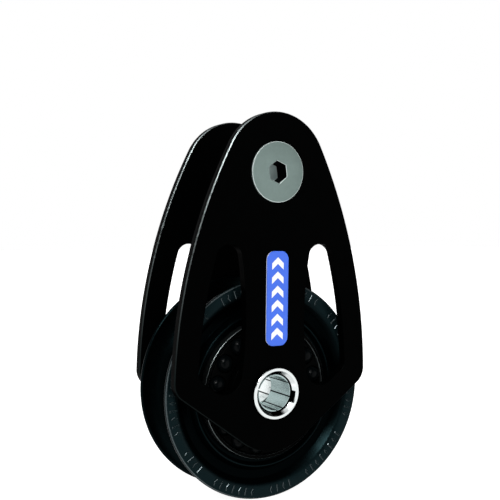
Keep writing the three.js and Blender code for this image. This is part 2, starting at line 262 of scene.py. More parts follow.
def inset(outline, distance):
    """Moves an outline sideways to its left, which is into the material: outer outlines run anticlockwise and
    holes clockwise."""
    moved = []
    for before, here, after in zip(outline[-1:] + outline[:-1], outline, outline[1:] + outline[:1]):
        ways = [(here - before).normalized(), (after - here).normalized()]
        normals = [Vector((-way.y, way.x)) for way in ways]
        middle = (normals[0] + normals[1]).normalized()
        moved.append(here + middle * distance / middle.dot(normals[0]))
    return moved


def angle_of(vector):
    return math.atan2(vector.y, vector.x)


ORIGIN = Vector((0, 0))
HEAD_CENTRE = Vector((0, HEAD_HEIGHT))

# The cheek's side is one long arc, level with the axle at its widest and tangent to the head arc.
SIDE_RADIUS = (HEAD_HEIGHT**2 + HALF_WIDTH**2 - HEAD_RADIUS**2) / (2 * (HALF_WIDTH - HEAD_RADIUS))
SIDE_CENTRE = Vector((HALF_WIDTH - SIDE_RADIUS, 0))

# The lower corner touches the side arc from inside, and a straight edge joins it to the bottom arc.
CORNER_REACH = SIDE_RADIUS - CORNER_RADIUS
CORNER_CENTRE = Vector((SIDE_CENTRE.x + math.sqrt(CORNER_REACH**2 - CORNER_HEIGHT**2), CORNER_HEIGHT))
LOWER_EDGE_ANGLE = angle_of(CORNER_CENTRE) - math.acos(
    (BOTTOM_RADIUS - CORNER_RADIUS) / CORNER_CENTRE.length
)


def cheek_outline():
    head_angle = math.atan2(HEAD_HEIGHT, -SIDE_CENTRE.x)
    corner_angle = math.asin(CORNER_HEIGHT / CORNER_REACH)
    right_side = arc(CORNER_CENTRE, CORNER_RADIUS, LOWER_EDGE_ANGLE, corner_angle)
    right_side += arc(SIDE_CENTRE, SIDE_RADIUS, corner_angle, head_angle)[1:]
    bottom = arc(ORIGIN, BOTTOM_RADIUS, -math.pi - LOWER_EDGE_ANGLE, LOWER_EDGE_ANGLE)
    head = arc(HEAD_CENTRE, HEAD_RADIUS, head_angle, math.pi - head_angle)[1:-1]
    return bottom + right_side + head + mirrored(right_side)


def fillet_centre(radius, edge_angle, edge_distance, arc_centre, arc_radius):
    """Centre of a fillet inside a slot that touches a straight edge, given by its normal's angle and its
    distance from the axle, and the inside of a large arc."""
    normal = point(1, edge_angle)
    along = Vector((-normal.y, normal.x))
    foot = normal * (edge_distance - radius)
    nearest = along.dot(arc_centre - foot)
    off_edge = (foot + along * nearest - arc_centre).length
    reach = math.sqrt((arc_radius - radius) ** 2 - off_edge**2)
    return foot + along * (nearest - math.copysign(reach, nearest))


def slot_outline():
    """The lightening slot on the +X side, anticlockwise."""
    up = math.pi / 2
    wall_radius = SIDE_RADIUS - SLOT_RIM
    bottom_distance = BOTTOM_RADIUS - SLOT_RIM
    waist_centre = Vector((WAIST_HALF_WIDTH + WAIST_RADIUS, WAIST_HEIGHT))
    outer_top = fillet_centre(SLOT_OUTER_TOP, up, SLOT_TOP, SIDE_CENTRE, wall_radius)
    inner_top = fillet_centre(SLOT_INNER_TOP, up, SLOT_TOP, waist_centre, WAIST_RADIUS)
    inner_bottom = fillet_centre(
        SLOT_INNER_BOTTOM, LOWER_EDGE_ANGLE, bottom_distance, waist_centre, WAIST_RADIUS
    )
    outer_bottom = fillet_centre(
        SLOT_OUTER_BOTTOM, LOWER_EDGE_ANGLE, bottom_distance, SIDE_CENTRE, wall_radius
    )
    wall_from = angle_of(outer_bottom - SIDE_CENTRE)
    wall_to = angle_of(outer_top - SIDE_CENTRE)
    waist_from = angle_of(inner_top - waist_centre) % FULL_TURN
    waist_to = angle_of(inner_bottom - waist_centre) % FULL_TURN
    outline = arc(SIDE_CENTRE, wall_radius, wall_from, wall_to)
    outline += arc(outer_top, SLOT_OUTER_TOP, wall_to, up)[1:]
    outline += arc(inner_top, SLOT_INNER_TOP, up, waist_from)
    outline += arc(waist_centre, WAIST_RADIUS, waist_from, waist_to)[1:]
    outline += arc(inner_bottom, SLOT_INNER_BOTTOM, waist_to, LOWER_EDGE_ANGLE + FULL_TURN)[1:]
    outline += arc(outer_bottom, SLOT_OUTER_BOTTOM, LOWER_EDGE_ANGLE, wall_from)[:-1]
    return outline


def badge_outline():
    x = BADGE_HALF_WIDTH - BADGE_RADIUS
    low = Vector((x, badge_low.z + BADGE_RADIUS))
    high = Vector((x, badge_high.z - BADGE_RADIUS))
    right = arc(low, BADGE_RADIUS, -math.pi / 2, 0) + arc(high, BADGE_RADIUS, 0, math.pi / 2)
    return right + mirrored(right)


def chevron_outline(height):
    """A chevron that points up, with its middle at a height."""
    right = [
        Vector((CHEVRON_HALF_WIDTH, height - CHEVRON_HALF_HEIGHT)),
        Vector((CHEVRON_HALF_WIDTH, height - CHEVRON_HALF_HEIGHT + CHEVRON_ARM)),
    ]
    tip = Vector((0, height + CHEVRON_HALF_HEIGHT))
    crook = Vector((0, height + CHEVRON_HALF_HEIGHT - CHEVRON_ARM))
    return right + [tip] + mirrored(right) + [crook]


def hexagon(across_flats, turn):
    radius = across_flats / math.sqrt(3)
    return [point(radius, turn + math.pi / 2 + i * math.pi / 3) for i in range(6)]


def bore_outline():
    """The bore's section: shallow arcs that meet in ridges, all ridges on one circle."""
    ridges = [math.radians(angle) for angle in RIDGE_ANGLES]
    outline = []
    for ridge, after in zip(ridges, ridges[1:] + [ridges[0] + FULL_TURN]):
        half = (after - ridge) / 2
        middle = ridge + half
        span = math.asin(BORE_RADIUS * math.sin(half) / FACET_RADIUS)
        centre = point(BORE_RADIUS * math.cos(half) - FACET_RADIUS * math.cos(span), middle)
        outline += arc(centre, FACET_RADIUS, middle - span, middle + span)[:-1]
    return outline


def spoke(angle, inner, outer, width):
    """A bar from one radius to another, with ends that follow them."""
    outer_half = math.asin(width / 2 / outer)
    inner_half = math.asin(width / 2 / inner)
    outline = arc(ORIGIN, outer, angle - outer_half, angle + outer_half)
    return outline + arc(ORIGIN, inner, angle + inner_half, angle - inner_half)


def mark_outline(turn, corners):
    """A raised mark on the sheave's band, with its length along the sheave's radius."""
    out = point(1, turn)
    aside = Vector((-out.y, out.x))
    return [out * (MARK_RADIUS + a * MARK_LENGTH) + aside * b * MARK_WIDTH for a, b in corners]


# ---- Meshes -------------------------------------------------------------------------------------------

# Places in a piece's list of materials.
MAIN = 0
EDGE = 1
# the socket walls painted black as shade, and the socket floor painted pale as light
PAINTED_SHADE_WALL = 2
PAINTED_LIGHT_FLOOR = 3

TO_REAR = Matrix.Rotation(math.pi, 4, "Z")


class Shell:
    """A closed surface put together from walls that run from front to back and flat faces between them."""

    def __init__(self):
        self.mesh = bmesh.new()
        self.paint = MAIN  # the material of what is added next

    def loop(self, outline, y):
        return [self.mesh.verts.new((p.x, y, p.y)) for p in outline]

    def wall(self, loops):
        """Joins loops of equal length, one after the other."""
        for near, far in zip(loops, loops[1:]):
            for i, corner in enumerate(near):
                after = (i + 1) % len(near)
                self.face((corner, near[after], far[after], far[i]))

    def cap(self, *loops):
        """Fills the first loop, leaving out the others."""
        corners = [vertex for loop in loops for vertex in loop]
        flat = [[Vector((v.co.x, v.co.z, 0)) for v in loop] for loop in loops]
        for triangle in tessellate_polygon(flat):
            self.face([corners[i] for i in triangle])

    def face(self, corners):
        self.mesh.faces.new(corners).material_index = self.paint

    def finish(self, name, centre=Vector((0, 0, 0)), rear=False):
        """Makes the object, in metres, with its origin at centre."""
        bmesh.ops.recalc_face_normals(self.mesh, faces=self.mesh.faces)
        data = bpy.data.meshes.new(name)
        self.mesh.to_mesh(data)
        self.mesh.free()
        data.transform(Matrix.Scale(MM, 4))
        if rear:
            data.transform(TO_REAR)
        smooth(data)
        piece = bpy.data.objects.new(name, data)
        bpy.context.scene.collection.objects.link(piece)
        piece.location = centre * MM
        return piece


def smooth(data):
    data.shade_smooth()
    data.set_sharp_from_angle(angle=SMOOTH_BELOW)


def walls(shell, outline, profile):
    """A wall whose loops follow an outline, each moved in by profile's first number at profile's y."""
    loops = [shell.loop(inset(outline, distance), y) for distance, y in profile]
    shell.wall(loops)
    return loops[0], loops[-1]


def block(shell, outline, profile, wall_paint=MAIN):
    """Adds a closed block: a wall and the flat faces at its ends."""
    shell.paint = wall_paint
    front, back = walls(shell, outline, profile)
    shell.paint = MAIN
    shell.cap(front)
    shell.cap(back)


def washer(shell, outer, bore, profile, wall_paint=MAIN):
    """Adds a flat ring between two radii."""
    shell.paint = wall_paint
    front, back = walls(shell, circle(ORIGIN, outer), profile)
    bore_front, bore_back = walls(shell, hole(ORIGIN, bore), profile)
    shell.paint = MAIN
    shell.cap(front, bore_front)
    shell.cap(back, bore_back)


def chamfered(low, high, size):
    """A plate's edge: (inset, y) pairs from its front face to its back face."""
    return [(size, low), (0, low + size), (0, high - size), (size, high)]


def raised(face, relief, edge):
    """A raised mark's edge: (inset, y) pairs from its top to its root below the face it stands on."""
    return [(edge, face - relief), (0, face - relief + edge), (0, face + ROOT)]


def rounded(corners):
    """A profile of [radius, y] points. A corner with a third number is rounded to that radius."""
    points = []
    for i, corner in enumerate(corners):
        here = Vector(corner[:2])
        if len(corner) == 2:
            points.append(here)
            continue
        before = (Vector(corners[i - 1][:2]) - here).normalized()
        after = (Vector(corners[(i + 1) % len(corners)][:2]) - here).normalized()
        half = before.angle(after) / 2
        centre = here + (before + after).normalized() * corner[2] / math.sin(half)
        reach = corner[2] / math.tan(half)
        start = angle_of(here + before * reach - centre)
        sweep = (angle_of(here + after * reach - centre) - start + math.pi) % FULL_TURN - math.pi
        points += arc(centre, corner[2], start, start + sweep)
    return points


def turned(name, profile, closed=True, centre=Vector((0, 0, 0)), rear=False):
    """Turns a profile of (radius, y) points round the Y axis. An open one is capped at both ends."""
    shell = Shell()
    count = len(circle(ORIGIN, max(p[0] for p in profile)))
    loops = [
        shell.loop([point(p[0], FULL_TURN * i / count) for i in range(count)], p[1]) for p in profile
    ]
    if closed:
        shell.wall(loops + loops[:1])
    else:
        shell.wall(loops)
        shell.cap(loops[0])
        shell.cap(loops[-1])
    return shell.finish(name, centre, rear)


def prism(outline, low, high):
    """A plain block of an outline, from y = low to y = high, to cut with."""
    shell = Shell()
    block(shell, outline, [(0, low), (0, high)])
    return shell.finish("tool")


def cut(piece, tool, material):
    """Cuts the tool out of the piece, leaves its material on the new faces, and removes the tool."""
    tool.data.materials.append(material)
    modifier = piece.modifiers.new("cut", "BOOLEAN")
    modifier.object = tool
    modifier.solver = "EXACT"
    modifier.material_mode = "TRANSFER"
    bpy.context.view_layer.update()
    result = bpy.data.meshes.new_from_object(piece.evaluated_get(bpy.context.evaluated_depsgraph_get()))
    weld(result)
    piece.modifiers.clear()
    piece.data = result
    bpy.data.objects.remove(tool)
    smooth(piece.data)


def weld(data):
    """Joins corners that a cut leaves almost on top of each other."""
    mesh = bmesh.new()
    mesh.from_mesh(data)
    bmesh.ops.remove_doubles(mesh, verts=mesh.verts, dist=WELD)
    mesh.to_mesh(data)
    mesh.free()


# ---- Materials ----------------------------------------------------------------------------------------

NOISE_RANGE = (0.3, 0.7)  # nearly all of a noise lies between these


def make_node(tree, kind, inputs=(), **settings):
    """Adds a node. Each input is a value, or another node's output to link to it."""
    made = tree.nodes.new(kind)
    for key, value in settings.items():
        setattr(made, key, value)
    for socket, value in dict(inputs).items():
        if isinstance(value, bpy.types.NodeSocket):
            tree.links.new(value, made.inputs[socket])
        else:
            made.inputs[socket].default_value = value
    return made


class Material:
    """A Principled material with helpers for the procedural detail on it."""

    def __init__(self, name, **values):
        self.data = bpy.data.materials.new(name)
        self.data.use_nodes = True
        self.tree = self.data.node_tree
        self.shader = self.tree.nodes["Principled BSDF"]
        self.place = self.tree.nodes.new("ShaderNodeTexCoord").outputs["Object"]
        self.relief = None  # the last bump's normal
        for socket, value in values.items():
            self.shader.inputs[socket.replace("_", " ")].default_value = value

    def node(self, kind, inputs=(), **settings):
        return make_node(self.tree, kind, inputs, **settings)

    def drive(self, socket, value):
        self.tree.links.new(value, self.shader.inputs[socket])

    def math(self, operation, a, b=0.0):
        return self.node("ShaderNodeMath", {0: a, 1: b}, operation=operation).outputs[0]

    def noise(self, size, detail=3.0, stretch=(1, 1, 1), roughness=0.55):
        """Noise from 0 to 1, with features about size millimetres across, times stretch along each axis."""
        scale = tuple(1 / (size * MM * s) for s in stretch)
        place = self.node("ShaderNodeVectorMath", {0: self.place, 1: scale}, operation="MULTIPLY")
        inputs = {"Vector": place.outputs[0], "Scale": 1.0, "Detail": detail, "Roughness": roughness}
        return self.node("ShaderNodeTexNoise", inputs).outputs["Fac"]

    def remap(self, value, low, high, to_low, to_high):
        inputs = {"Value": value, "From Min": low, "From Max": high, "To Min": to_low, "To Max": to_high}
        return self.node("ShaderNodeMapRange", inputs).outputs["Result"]

    def along(self, axis):
        """Distance along one of the piece's own axes, in metres."""
        return self.node("ShaderNodeSeparateXYZ", {"Vector": self.place}).outputs[axis]

    def distance_from_axis(self):
        """Distance from the piece's own Y axis, in metres."""
        flat = self.node("ShaderNodeVectorMath", {0: self.place, 1: (1, 0, 1)}, operation="MULTIPLY")
        return self.node("ShaderNodeVectorMath", {0: flat.outputs[0]}, operation="LENGTH").outputs["Value"]

    def turning_marks(self, pitch, blur=0.25):
        """Fine rings round the piece's Y axis, pitch millimetres apart, uneven like a lathe's marks."""
        ring = self.math("DIVIDE", self.distance_from_axis(), pitch * MM)
        wander = self.math("MULTIPLY", self.noise(2.5), blur)
        place = self.node("ShaderNodeCombineXYZ", {"X": self.math("ADD", ring, wander)})
        inputs = {"Vector": place.outputs[0], "Scale": 1.0, "Detail": 2.0}
        return self.node("ShaderNodeTexNoise", inputs).outputs["Fac"]

    def colour(self, factor, first, second):
        mix = self.node("ShaderNodeMix", {"Factor": factor}, data_type="RGBA")
        mix.inputs[6].default_value = (*first, 1)
        mix.inputs[7].default_value = (*second, 1)
        self.drive("Base Color", mix.outputs[2])

    def roughness(self, factor, low, high):
        self.drive("Roughness", self.remap(factor, *NOISE_RANGE, low, high))

    def bump(self, height, depth):
        """Adds relief: height from 0 to 1, depth in millimetres."""
        inputs = {"Height": height, "Distance": depth * MM, "Strength": 1.0}
        if self.relief is not None:
            inputs["Normal"] = self.relief
        self.relief = self.node("ShaderNodeBump", inputs).outputs["Normal"]
        self.drive("Normal", self.relief)


def anodised():
    """Black anodised plate: bead-blasted grain, faint scuffs and a slight unevenness in the dye."""
    material = Material("anodised_black", Specular_IOR_Level=0.006)
    material.colour(material.noise(9.0), (0.0002, 0.0003, 0.0003), (0.0005, 0.0006, 0.0006))
    material.roughness(material.noise(3.0, 5.0), 0.36, 0.5)
    material.bump(material.noise(0.16, 2.0), 0.0022)
    material.bump(material.noise(0.5, 4.0, (14, 1, 1)), 0.0012)
    return material.data


def anodised_edge_highlight():
    """The cheek's machined chamfers: a painted highlight makes them bright over the head and leaves them
    black low down, broken into patches of wear.
    """
    material = Material("anodised_edge_highlight", Metallic=1.0)
    # painted highlight: the chamfers' colour brightens with height, standing for light that falls brightest
    # near the head
    rubbed = material.math("POWER", material.remap(material.along("Z"), 0, EDGE_HIGHLIGHT_TOP * MM, 0, 1), 2.3)
    patches = material.remap(material.noise(1.6, 4.0), *NOISE_RANGE, 0.6, 1)
    highlight_and_wear = material.math("MULTIPLY", rubbed, patches)
    material.colour(highlight_and_wear, (0.006, 0.009, 0.009), (0.6, 0.68, 0.68))
    material.roughness(material.noise(0.8, 4.0), 0.24, 0.4)
    material.bump(material.noise(0.3, 3.0, (1, 1, 6)), 0.0015)
    return material.data


def acetal():
    """The sheave's acetal: black and polished in the dish, where painted shade darkens it and weakens its
    gloss, paler with a teal cast on its flat side bands.
    """
    material = Material("acetal_black", Specular_Tint=(0.4, 0.9, 1, 1))
    # painted shade: colour and gloss fall away towards the sheave's middle plane, so the dish, the rope
    # groove and the bore are darker and duller than the side bands
    aside = material.math("ABSOLUTE", material.along("Y"))
    shine = material.remap(aside, DISH_OUTER_SIDE * MM, BAND_BEGINS * MM, 0.012, 0.065)
    material.drive("Specular IOR Level", shine)
    band = material.remap(aside, BAND_BEGINS * MM, BAND_FULL * MM, 0, 1)
    cloud = material.remap(material.noise(6.0, 4.0), *NOISE_RANGE, 0.8, 1.2)
    shade_and_cloud = material.math("MULTIPLY", band, cloud)
    material.colour(shade_and_cloud, (0.0001, 0.0003, 0.0004), (0.0026, 0.0062, 0.0072))
    material.roughness(material.noise(2.2, 4.0), 0.24, 0.34)
    material.bump(material.turning_marks(0.22), 0.0016)
    material.bump(material.noise(0.2, 3.0), 0.0014)
    return material.data


def acetal_edge():
    """Where the sheave's raised marks and rims are rubbed: lighter and far glossier than the sheave, wear
    together with a painted highlight.
    """
    material = Material("acetal_rubbed_sheen", Specular_IOR_Level=0.9, Specular_Tint=(0.8, 0.95, 1, 1))
    material.colour(material.noise(0.9, 4.0), (0.009, 0.014, 0.015), (0.022, 0.031, 0.033))
    material.roughness(material.noise(0.6, 4.0), 0.2, 0.34)
    material.bump(material.noise(0.15, 3.0), 0.0012)
    return material.data


def bearing_plastic():
    """Smooth dark plastic for balls, rollers and cages, with light running scuffs."""
    material = Material("bearing_plastic", Specular_IOR_Level=0.05)
    material.colour(material.noise(1.5, 4.0), (0.0004, 0.0008, 0.001), (0.0012, 0.002, 0.0023))
    material.roughness(material.noise(0.9, 5.0), 0.16, 0.3)
    material.bump(material.noise(0.35, 4.0), 0.001)
    return material.data


def cage_plastic():
    """Matt black plastic of the cages."""
    material = Material("cage_plastic", Specular_IOR_Level=0.015)
    material.colour(material.noise(1.8, 4.0), (0.0002, 0.0003, 0.0003), (0.0005, 0.0007, 0.0007))
    material.roughness(material.noise(0.8, 5.0), 0.4, 0.6)
    material.bump(material.noise(0.25, 4.0), 0.002)
    return material.data


def satin_steel():
    """Turned stainless steel with a satin face: fine rings, and a faint haze of handling marks."""
    material = Material("satin_steel", Metallic=1.0)
    material.colour(material.noise(2.4, 4.0), (0.19, 0.25, 0.235), (0.23, 0.3, 0.28))
    material.roughness(material.noise(0.7, 5.0), 0.42, 0.52)
    material.bump(material.turning_marks(0.09), 0.0014)
    material.bump(material.noise(0.12, 3.0), 0.0008)
    return material.data


def steel_edge_highlight():
    """Bright edges of the head screws: rubbed steel, painted paler than the disc's face as a highlight."""
    material = Material("steel_edge_highlight", Metallic=1.0)
    # painted highlight: the edges' colour is far paler than the disc's own steel
    material.colour(material.noise(1.2, 4.0), (0.62, 0.72, 0.7), (0.8, 0.88, 0.86))
    material.roughness(material.noise(0.5, 4.0), 0.45, 0.6)
    material.bump(material.noise(0.12, 3.0), 0.001)
    return material.data


def painted_light_steel():
    """The floor of the head screws' sockets: a pale, dull paint that stands for light falling on the floor, a
    painted pool of light.
    """
    material = Material("painted_light_steel", Specular_IOR_Level=0.3)
    material.colour(material.noise(1.2, 4.0), (0.72, 0.93, 0.89), (0.78, 0.97, 0.94))
    material.roughness(material.noise(0.5, 4.0), 0.7, 0.85)
    material.bump(material.noise(0.12, 3.0), 0.001)
    return material.data


def polished_steel():
    """Polished stainless steel with hairline marks."""
    material = Material("polished_steel", Metallic=1.0)
    material.colour(material.noise(1.8, 4.0), (0.72, 0.77, 0.765), (0.84, 0.87, 0.87))
    material.roughness(material.noise(0.6, 5.0), 0.1, 0.2)
    material.bump(material.turning_marks(0.14), 0.0008)
    return material.data


def race_edge_highlight():
    """The bright edges of the race rings: dark steel painted on the chamfers as the bright highlight lines
    along them.
    """
    material = Material("race_edge_highlight", Metallic=1.0)
    material.colour(material.noise(1.1, 4.0), (0.1, 0.12, 0.12), (0.2, 0.23, 0.23))
    material.roughness(material.noise(0.6, 4.0), 0.3, 0.42)
    material.bump(material.noise(0.2, 3.0), 0.001)
    return material.data


def bore_steel():
    """The axle's bore and its mouth: steel cut along the bore, duller and greyer than the polished rim."""
    material = Material("bore_steel", Metallic=1.0)
    material.colour(material.noise(1.2, 4.0, (1, 5, 1)), (0.36, 0.46, 0.455), (0.46, 0.56, 0.555))
    material.roughness(material.noise(0.5, 5.0, (1, 6, 1)), 0.16, 0.28)
    material.bump(material.noise(0.1, 3.0, (1, 30, 1)), 0.0012)
    return material.data


def badge_blue():
    """Blue enamel under a clear, slightly uneven coat."""
    material = Material("badge_blue", Coat_Weight=0.15, Coat_Roughness=0.12)
    material.colour(material.noise(5.0, 3.0), (0.026, 0.125, 0.74), (0.036, 0.148, 0.82))
    material.roughness(material.noise(0.8, 4.0), 0.3, 0.42)
    material.bump(material.noise(0.6, 3.0), 0.0014)
    return material.data


def badge_pale():
    """Cream-white plastic under the badge's face, and its raised marks."""
    material = Material("badge_pale", Coat_Weight=0.3, Coat_Roughness=0.15)
    material.colour(material.noise(3.0, 3.0), (0.9, 0.91, 0.88), (0.97, 0.97, 0.95))
    material.roughness(material.noise(0.8, 4.0), 0.3, 0.45)
    material.bump(material.noise(0.4, 3.0), 0.001)
    return material.data


def floor_paint():
    """The white floor, which glows a little so that it matches the backdrop."""
    material = Material("floor_pale", Emission_Color=(1, 1, 1, 1), Emission_Strength=0.92)
    material.colour(material.noise(60.0, 3.0), (0.86, 0.86, 0.86), (0.9, 0.9, 0.9))
    material.roughness(material.noise(25.0, 3.0), 0.75, 0.85)
    return material.data


ANODISED = anodised()
ANODISED_EDGE = anodised_edge_highlight()
ACETAL = acetal()
ACETAL_EDGE = acetal_edge()
BEARING_PLASTIC = bearing_plastic()
CAGE_PLASTIC = cage_plastic()
SATIN_STEEL = satin_steel()
STEEL_EDGE = steel_edge_highlight()
PAINTED_LIGHT_STEEL = painted_light_steel()
POLISHED_STEEL = polished_steel()
BORE_STEEL = bore_steel()
RACE_STEEL = race_edge_highlight()
BADGE_BLUE = badge_blue()
BADGE_PALE = badge_pale()

# ---- Pieces -------------------------------------------------------------------------------------------


def dress(piece, body, slot, *materials, replaces=()):
    """Gives a piece its materials and joins it to a CAD body, in place of the CAD nodes it stands for."""
    for material in materials:
        piece.data.materials.append(material)
    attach(piece, body)
    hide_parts(*replaces)
    return piece


def head_seat(shell):
    """The head screw's seat in a cheek: a round pocket, with a hole in its floor for the shank."""
    floor = CHEEK_FACE + HEAD_SEAT_DEPTH
    side = [(SLOT_EDGE, CHEEK_FACE), (0, CHEEK_FACE + SLOT_EDGE), (0, floor)]
    front, bottom = walls(shell, hole(HEAD_CENTRE, HEAD_SEAT_RADIUS), side)
    hole_top, back = walls(shell, hole(HEAD_CENTRE, SHANK_HOLE), [(0, floor), (0, CHEEK_BACK)])
    shell.cap(bottom, hole_top)
    return front, back


def badge_pocket(shell):
    pocket = inset(list(reversed(badge_outline())), BADGE_POCKET_GAP)
    front, bottom = walls(shell, pocket, [(0, CHEEK_FACE), (0, BADGE_POCKET_FLOOR)])
    shell.cap(bottom)
    return front


def cheek(side):
    """The cheek plate, with its chamfered outline, two slots, and the seats for its screws and its badge."""
    shell = Shell()
    outline = cheek_outline()
    profile = chamfered(CHEEK_FACE, CHEEK_BACK, EDGE_CHAMFER)
    loops = [shell.loop(inset(outline, distance), y) for distance, y in profile]
    shell.wall(loops[1:3])
    shell.paint = EDGE
    shell.wall(loops[:2])
    shell.wall(loops[2:])
    shell.paint = MAIN
    fronts = [loops[0]]
    backs = [loops[-1]]
    slot = list(reversed(slot_outline()))
    axle_hole = hole(ORIGIN, AXLE_BODY_RADIUS + SEAT_GAP)
    for opening in (slot, mirrored(slot), axle_hole):
        front, back = walls(shell, opening, chamfered(CHEEK_FACE, CHEEK_BACK, SLOT_EDGE))
        fronts.append(front)
        backs.append(back)
    front, back = head_seat(shell)
    fronts.append(front)
    backs.append(back)
    fronts.append(badge_pocket(shell))
    shell.cap(*fronts)
    shell.cap(*backs)
    piece = shell.finish(f"{side}_cheek_plate", rear=side == "rear")
    return dress(piece, "frame", "black_anodised", ANODISED, ANODISED_EDGE, replaces=[f"{side}_cheek"])


def badge_base(side):
    """The badge's black base, with a thinner pale layer on top of it."""
    pale_face = badge_low.y + BADGE_FACE_LAYER
    base_face = pale_face + BADGE_PALE_LAYER
    shell = Shell()
    front, foot = walls(shell, badge_outline(), [(BADGE_INSET, pale_face), (BADGE_INSET, base_face)])
    shell.cap(front)
    shell.paint = EDGE
    shoulder = shell.loop(badge_outline(), base_face)
    back = shell.loop(badge_outline(), badge_high.y)
    shell.wall([foot, shoulder, back])
    shell.cap(back)
    piece = shell.finish(f"{side}_badge_base", rear=side == "rear")
    return dress(piece, "frame", "blue_badge", BADGE_PALE, ANODISED, replaces=[f"{side}_badge"])


def badge_face(side):
    face = badge_low.y
    profile = [
        (BADGE_INSET + BADGE_EDGE, face),
        (BADGE_INSET, face + BADGE_EDGE),
        (BADGE_INSET, face + BADGE_FACE_LAYER),
    ]
    shell = Shell()
    block(shell, badge_outline(), profile)
    piece = shell.finish(f"{side}_badge_face", rear=side == "rear")
    return dress(piece, "frame", "blue_badge", BADGE_BLUE)


def badge_marks(side):
    """A row of raised chevrons up the middle of the badge."""
    shell = Shell()
    middle = (badge_low.z + badge_high.z) / 2
    for i in range(CHEVRON_COUNT):
        height = middle + (i - (CHEVRON_COUNT - 1) / 2) * CHEVRON_PITCH
        block(shell, chevron_outline(height), raised(badge_low.y, CHEVRON_RELIEF, CHEVRON_EDGE))
    piece = shell.finish(f"{side}_badge_marks", rear=side == "rear")
    return dress(piece, "frame", "blue_badge", BADGE_PALE)


def head_screw(side):
    """The head screw: a flat disc with bright edges, partly a painted highlight, on a shank, with a deep
    hexagon socket whose walls are painted black as shade and whose floor is painted pale as light.
    """
    shell = Shell()
    face = screw_low.y
    underside = face + HEAD_SCREW_THICKNESS
    rim = [
        (HEAD_SCREW_EDGE, face),
        (HEAD_SCREW_CROWN, face + HEAD_SCREW_CROWN),
        (0, face + HEAD_SCREW_EDGE),
    ]
    socket = list(reversed(hexagon(SOCKET_FLATS, SOCKET_TURN)))
    shell.paint = EDGE
    front, rim_back = walls(shell, circle(ORIGIN, HEAD_DISC_RADIUS), rim)
    mouth, mouth_back = walls(shell, socket, [(SOCKET_EDGE, face), (0, face + SOCKET_EDGE)])
    # painted shade: the socket's walls are painted black
    shell.paint = PAINTED_SHADE_WALL
    floor = shell.loop(socket, face + SOCKET_DEPTH)
    shell.wall([mouth_back, floor])
    # painted light: the socket's floor is painted pale
    shell.paint = PAINTED_LIGHT_FLOOR
    shell.cap(floor)
    shell.paint = MAIN
    neck = shell.loop(circle(ORIGIN, HEAD_DISC_RADIUS), underside)
    shell.wall([rim_back, neck])
    shank_top, end = walls(shell, circle(ORIGIN, SHANK_RADIUS), [(0, underside), (0, screw_high.y)])
    shell.cap(front, mouth)
    shell.cap(neck, shank_top)
    shell.cap(end)
    piece = shell.finish(f"{side}_head_screw_disc", Vector((0, 0, HEAD_HEIGHT)), side == "rear")
    # the socket's walls take the black anodised paint as painted shade, its floor the pale paint as painted
    # light
    finishes = (SATIN_STEEL, STEEL_EDGE, ANODISED, PAINTED_LIGHT_STEEL)
    return dress(piece, "frame", "satin_steel", *finishes, replaces=[f"{side}_head_screw"])


def axle_blank(name, end):
    """One half of the axle before it is bored: a flange whose side is painted black as shade, and a round
    body.
    """
    flange_back = CHEEK_FACE - SEAT_GAP
    shell = Shell()
    rim = [(FLANGE_EDGE, AXLE_FACE), (0, AXLE_FACE + FLANGE_EDGE)]
    front, rim_back = walls(shell, circle(ORIGIN, FLANGE_RADIUS), rim)
    # painted shade: the flange's side takes the black anodised paint
    shell.paint = EDGE
    flange_bottom = shell.loop(circle(ORIGIN, FLANGE_RADIUS), flange_back)
    shell.wall([rim_back, flange_bottom])
    shell.paint = MAIN
    body_top, body_end = walls(shell, circle(ORIGIN, AXLE_BODY_RADIUS), [(0, flange_back), (0, end)])
    shell.cap(front)
    shell.cap(flange_bottom, body_top)
    shell.cap(body_end)
    piece = shell.finish(name)
    piece.data.materials.append(POLISHED_STEEL)
    piece.data.materials.append(ANODISED)
    return piece


def cut_mouth(piece):
    """Cuts the flange's recess, the groove in its floor that leaves a liner, and the notches; the groove and
    the notches are painted black as shade.
    """
    recess_floor = AXLE_FACE + RECESS_DEPTH
    groove_floor = recess_floor + LINER_GROOVE_DEPTH
    groove_middle = (LINER_RADIUS + LINER_GROOVE) / 2
    slope = RECESS_BEVEL / (RECESS_RADIUS - LINER_GROOVE)
    recess = [
        (RECESS_RADIUS, AXLE_FACE - OVERCUT),
        (RECESS_RADIUS, AXLE_FACE),
        (groove_middle, AXLE_FACE + slope * (RECESS_RADIUS - groove_middle)),
    ]
    groove = [
        (LINER_RADIUS, AXLE_FACE),
        (LINER_GROOVE, AXLE_FACE),
        (LINER_GROOVE, groove_floor),
        (LINER_RADIUS, groove_floor),
    ]
    cut(piece, turned("tool", recess, closed=False), POLISHED_STEEL)
    cut(piece, prism(circle(ORIGIN, groove_middle), AXLE_FACE, recess_floor), BORE_STEEL)
    # painted shade: the groove's faces are painted black
    cut(piece, turned("tool", groove), ANODISED)
    # painted shade: the notches' faces are painted black
    for angle in NOTCH_ANGLES:
        notch = spoke(math.radians(angle), groove_middle, NOTCH_REACH, NOTCH_WIDTH)
        cut(piece, prism(notch, AXLE_FACE + FLANGE_EDGE, groove_floor), ANODISED)


def cut_bore(piece, end, lining):
    """Cuts the ridged bore, and a groove along each ridge painted black as a line of shade."""
    cut(piece, prism(bore_outline(), AXLE_FACE - OVERCUT, end + OVERCUT), lining)
    # painted shade: a thin groove along each ridge takes the black anodised paint
    for angle in RIDGE_ANGLES:
        line = spoke(math.radians(angle), BORE_RADIUS - OVERCUT, BORE_RADIUS + RIDGE_LINE / 2, RIDGE_LINE)
        cut(piece, prism(line, AXLE_FACE, end + OVERCUT), ANODISED)


